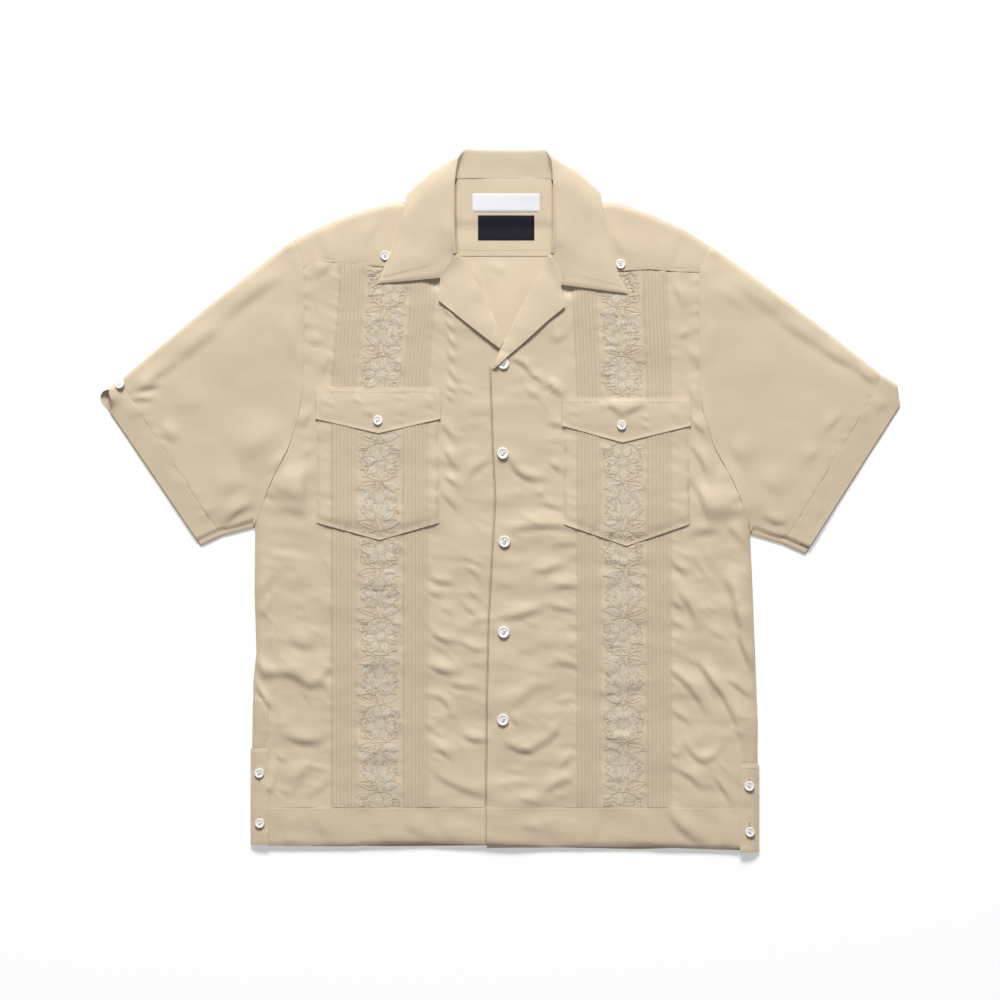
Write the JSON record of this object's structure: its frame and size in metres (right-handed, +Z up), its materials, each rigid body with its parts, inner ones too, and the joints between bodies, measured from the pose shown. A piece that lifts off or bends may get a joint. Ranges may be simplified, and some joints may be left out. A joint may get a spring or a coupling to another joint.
{
  "type": "cuban collar shirt",
  "caption": "Short-sleeved camp-collar shirt with tucked fronts, flap pockets and buttoned side vents, lying flat.",
  "frame": {"origin": "middle of the footprint, on the surface the shirt lies on", "axes": "+Z up from the surface, +Y towards the collar, +X towards the wearer's left sleeve"},
  "size_m": [0.8607, 0.7587, 0.0172],
  "materials": {
    "cloth": "soft satin-like plain weave, tan",
    "white_label": "woven label, white",
    "black_label": "woven label, black",
    "button": "pearly"
  },
  "bodies": {
    "root": {"back": "cloth", "yoke": "cloth", "right_front": "cloth", "left_front": "cloth", "right_hem_band": "cloth", "left_hem_band": "cloth", "right_vent_corner": "cloth", "right_vent_placket": "cloth", "right_vent_stay": "cloth", "left_vent_corner": "cloth", "left_vent_placket": "cloth", "left_vent_stay": "cloth", "right_pocket": "cloth", "right_flap": "cloth", "left_pocket": "cloth", "left_flap": "cloth", "collar": "cloth", "right_lapel": "cloth", "left_lapel": "cloth", "right_sleeve": "cloth", "right_cuff": "cloth", "left_sleeve": "cloth", "left_cuff": "cloth", "upper_label": "white_label", "lower_label": "black_label", "front_button_1": "button", "front_button_2": "button", "front_button_3": "button", "front_button_4": "button", "front_button_5": "button", "right_flap_button": "button", "left_flap_button": "button", "right_yoke_button": "button", "left_yoke_button": "button", "right_vent_button_1": "button", "right_vent_button_2": "button", "left_vent_button_1": "button", "left_vent_button_2": "button", "right_cuff_button": "button"}
  },
  "joints": []
}
